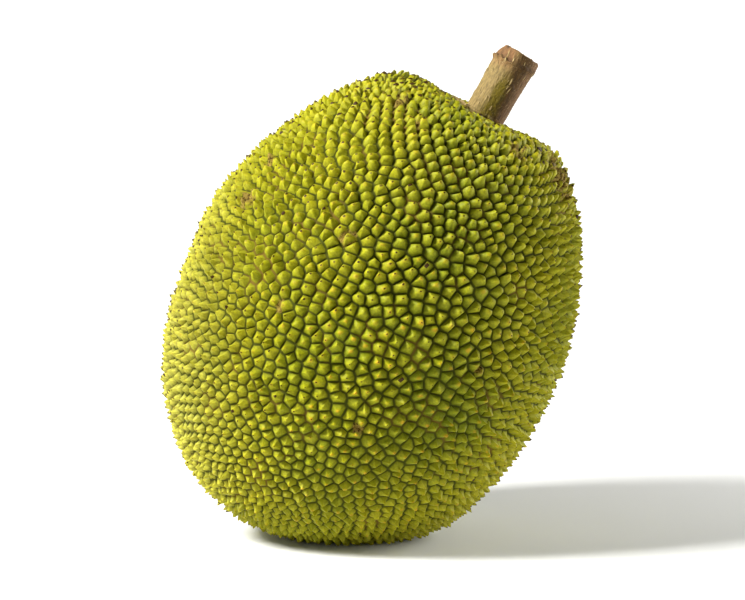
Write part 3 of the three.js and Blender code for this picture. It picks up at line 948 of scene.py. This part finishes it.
def loose_shreds(values, material):
    """Scatters slim curled shreds over a stalk, along its fibres."""
    tree, add, given = new_tree("Loose shreds", values)
    place = add("GeometryNodeInputNamedAttribute", {"Name": "stalk place"}, data_type="FLOAT_VECTOR")
    up = add(SEPARATE, [place]).node.outputs[2]
    above = add(MATHS, [up, given["Lowest"]], "GREATER_THAN")
    under = add(MATHS, [up, given["Highest"]], "LESS_THAN")
    on_shaft = add(MATHS, [above, under], "MULTIPLY")
    scattered = add("GeometryNodeDistributePointsOnFaces", {
        "Mesh": given["Geometry"], "Selection": on_shaft, "Density": given["Shreds"], "Seed": given["Seed"]})
    outward = scattered.node.outputs["Normal"]

    # One shred: a six-sided sliver as long as 1, tapered to both ends, whose upper end curls away from the
    # bark. It is 0.18 wide and 0.07 thick in the middle.
    rod = add("GeometryNodeMeshCylinder", {
        "Vertices": 6, "Side Segments": 6, "Radius": 1.0, "Depth": 1.0}, fill_type="NGON")
    x, y, z = add(SEPARATE, [add(POSITION)]).node.outputs
    from_middle = add(MATHS, [z, z], "MULTIPLY")
    taper = add(MATHS, [from_middle, -3.4, 1.0], "MULTIPLY_ADD")
    for factor in (0.09, taper):
        x = add(MATHS, [x, factor], "MULTIPLY")
    for factor in (0.035, taper):
        y = add(MATHS, [y, factor], "MULTIPLY")
    climbed = add(MATHS, [z, 0.5], "ADD")
    curl = add(MATHS, [climbed, 2.5], "POWER")
    y = add(MATHS, [curl, 0.16, y], "MULTIPLY_ADD")
    shred = add(MOVE, {"Geometry": rod, "Position": add(COMBINE, [x, y, z])})

    tilt = add(RANDOM, {0: (-0.25, -0.25, 1), 1: (0.25, 0.25, 1), "Seed": given["Seed"]},
               data_type="FLOAT_VECTOR")
    turn = add("FunctionNodeAlignRotationToVector", {"Vector": outward}, axis="Y")
    turn = add("FunctionNodeAlignRotationToVector", {"Rotation": turn, "Vector": tilt}, axis="Z",
               pivot_axis="Y")
    longer = add(RANDOM, {2: 0.35, 3: 1.3, "Seed": given["Seed"]}, data_type="FLOAT")
    size = add(MATHS, [longer, given["Shred Length"]], "MULTIPLY")
    instances = add("GeometryNodeInstanceOnPoints", {
        "Points": scattered, "Instance": shred, "Rotation": turn, "Scale": size})
    finish_tree(tree, instances, material)
    return tree


def torn_fibre(stalk):
    """Bast fibre of the stalk, torn and dried: matt and straw-coloured, from pale to orange."""
    material, add = new_material("Torn bast fibre")
    place = add("ShaderNodeTexCoord").node.outputs["Object"]
    patches = add(NOISE, {"Vector": place, "Scale": 1 / (4 * MM), "Detail": 3.0})
    patches = add(RANGE, [patches, 0.4, 0.6], **SOFT)
    fibre = add(MIX, {0: patches, 6: stalk.pale, 7: stalk.fleck}, **COLOURS)
    return finish_material(material, {"Base Color": fibre, "Roughness": 0.8, "Specular IOR Level": 0.3})


class JACKFRUIT_OT_shreds(bpy.types.Operator):
    """Scatters loose shreds over the stalk's bark"""
    bl_idname = "jackfruit.shreds"
    bl_label = "Bark shreds"

    def execute(self, context):
        body, stalk = context.scene.jackfruit_body, context.scene.jackfruit_stalk
        carrier = placed(stalk_mesh(stalk), "shred carrier")
        values = {
            "Shreds": stalk.shreds, "Seed": stalk.seed, "Shred Length": stalk.shred_length,
            "Lowest": 8 * MM, "Highest": stalk.height - 1.5 * MM}
        piece = grow(carrier, loose_shreds(values, torn_fibre(stalk)), values, "bark_shreds")
        piece.data.transform(on_the_fruit(body, stalk))
        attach(piece, "root")
        return {"FINISHED"}


# ---- Stage -----------------------------------------------------------------------------------------

def studio_cove():
    """A round floor that sweeps up into a low wall, as one surface."""
    floor_reach, sweep, wall_top, drop = 3.2, 0.8, 1.7, 0.5 * MM
    floor_steps, sweep_steps, sides = 8, 12, 96
    profile = [(floor_reach * (i / floor_steps), 0.0) for i in range(1, floor_steps + 1)]
    for i in range(1, sweep_steps + 1):
        turned = pi / 2 * i / sweep_steps
        profile.append((floor_reach + sweep * sin(turned), sweep * (1 - cos(turned))))
    profile.append((floor_reach + sweep, wall_top))
    cove = bmesh.new()
    middle = cove.verts.new((0, 0, -drop))
    rings = [[cove.verts.new((r * cos(2 * pi * k / sides), r * sin(2 * pi * k / sides), z - drop))
              for k in range(sides)] for r, z in profile]
    for k in range(sides):
        following = (k + 1) % sides
        cove.faces.new((middle, rings[0][k], rings[0][following]))
        for inner, outer in zip(rings, rings[1:]):
            cove.faces.new((inner[k], outer[k], outer[following], inner[following]))
    for face in cove.faces:
        face.smooth = True
    mesh = bpy.data.meshes.new("floor")
    cove.to_mesh(mesh)
    cove.free()
    return mesh


def pale_paper():
    """Matt paper, pressed: it scatters the light evenly and has no shine."""
    material, _ = new_material("Pale matt paper")
    return finish_material(material, {
        "Base Color": srgb("#f2f2ef"), "Roughness": 0.9, "Specular IOR Level": 0.2})


def softbox(name, place, size, power, target):
    """A wide soft lamp that faces its target."""
    light = bpy.data.lights.new(name, "AREA")
    light.shape = "RECTANGLE"
    light.size, light.size_y = size
    light.energy = power
    lamp = placed(light, name)
    lamp.location = place
    lamp.rotation_euler = (Vector(target) - Vector(place)).to_track_quat("-Z", "Y").to_euler()


class JACKFRUIT_OT_stage(bpy.types.Operator):
    """Sets the fruit on a pale floor in soft studio light, with a camera"""
    bl_idname = "jackfruit.stage"
    bl_label = "Stage"

    def execute(self, context):
        body, stage = context.scene.jackfruit_body, context.scene.jackfruit_stage
        floor = placed(studio_cove(), "floor")
        floor.data.materials.append(pale_paper())

        world = bpy.data.worlds.new("Studio")
        world.use_nodes = True
        fill(world.node_tree.nodes["Background"], {"Color": (1, 1, 1, 1), "Strength": 0.04})
        context.scene.world = world

        for name, (place, size, power) in SOFTBOXES.items():
            softbox(name, place, size, power, body.centre)
        # Each long lamp hangs over one side of the floor, and faces the foot of the wall.
        reach, height, wall_reach, foot_height = 1.7, 2.3, 4.0, 0.5
        for side, power in enumerate(WALL_LIGHTS):
            x, y = sin(side * pi / 2), cos(side * pi / 2)
            place, foot = (reach * x, reach * y, height), (wall_reach * x, wall_reach * y, foot_height)
            softbox(f"wall light {side + 1}", place, (3.0, 0.5), power, foot)

        elevation = stage.camera_elevation
        ahead = Vector((0, cos(elevation), -sin(elevation)))
        above = Vector((0, sin(elevation), cos(elevation)))
        aim = Vector(body.centre) + above * stage.room_above - Vector((stage.room_left, 0, 0))
        camera = placed(bpy.data.cameras.new("Camera"), "Camera")
        camera.data.lens = camera.data.sensor_width * stage.camera_distance / stage.view_width
        camera.location = aim - ahead * stage.camera_distance
        camera.rotation_euler = ahead.to_track_quat("-Z", "Y").to_euler()
        context.scene.camera = camera
        context.scene.view_settings.view_transform = "Standard"
        return {"FINISHED"}


# ---- Panel and registration ------------------------------------------------------------------------

class JACKFRUIT_PT_panel(bpy.types.Panel):
    bl_label = "Jackfruit"
    bl_idname = "JACKFRUIT_PT_panel"
    bl_space_type = "VIEW_3D"
    bl_region_type = "UI"
    bl_category = "Jackfruit"

    def draw(self, context):
        for settings in SETTINGS:
            group = getattr(context.scene, settings)
            column = self.layout.column()
            for name in group.__annotations__:
                column.prop(group, name)
        for operator in OPERATORS:
            self.layout.operator(operator.bl_idname)


SETTINGS = {
    "jackfruit_body": JackfruitBodySettings,
    "jackfruit_rind": JackfruitRindSettings,
    "jackfruit_stalk": JackfruitStalkSettings,
    "jackfruit_stage": JackfruitStageSettings,
}
OPERATORS = (JACKFRUIT_OT_rind, JACKFRUIT_OT_stalk, JACKFRUIT_OT_shreds, JACKFRUIT_OT_stage)
CLASSES = (*SETTINGS.values(), *OPERATORS, JACKFRUIT_PT_panel)


def register():
    for kind in CLASSES:
        bpy.utils.register_class(kind)
    for name, kind in SETTINGS.items():
        setattr(bpy.types.Scene, name, bpy.props.PointerProperty(type=kind))


def unregister():
    for name in SETTINGS:
        delattr(bpy.types.Scene, name)
    for kind in reversed(CLASSES):
        bpy.utils.unregister_class(kind)


def main():
    register()
    bpy.ops.jackfruit.rind()
    bpy.ops.jackfruit.stalk()
    bpy.ops.jackfruit.shreds()
    bpy.ops.jackfruit.stage()


if __name__ == "__main__":
    main()
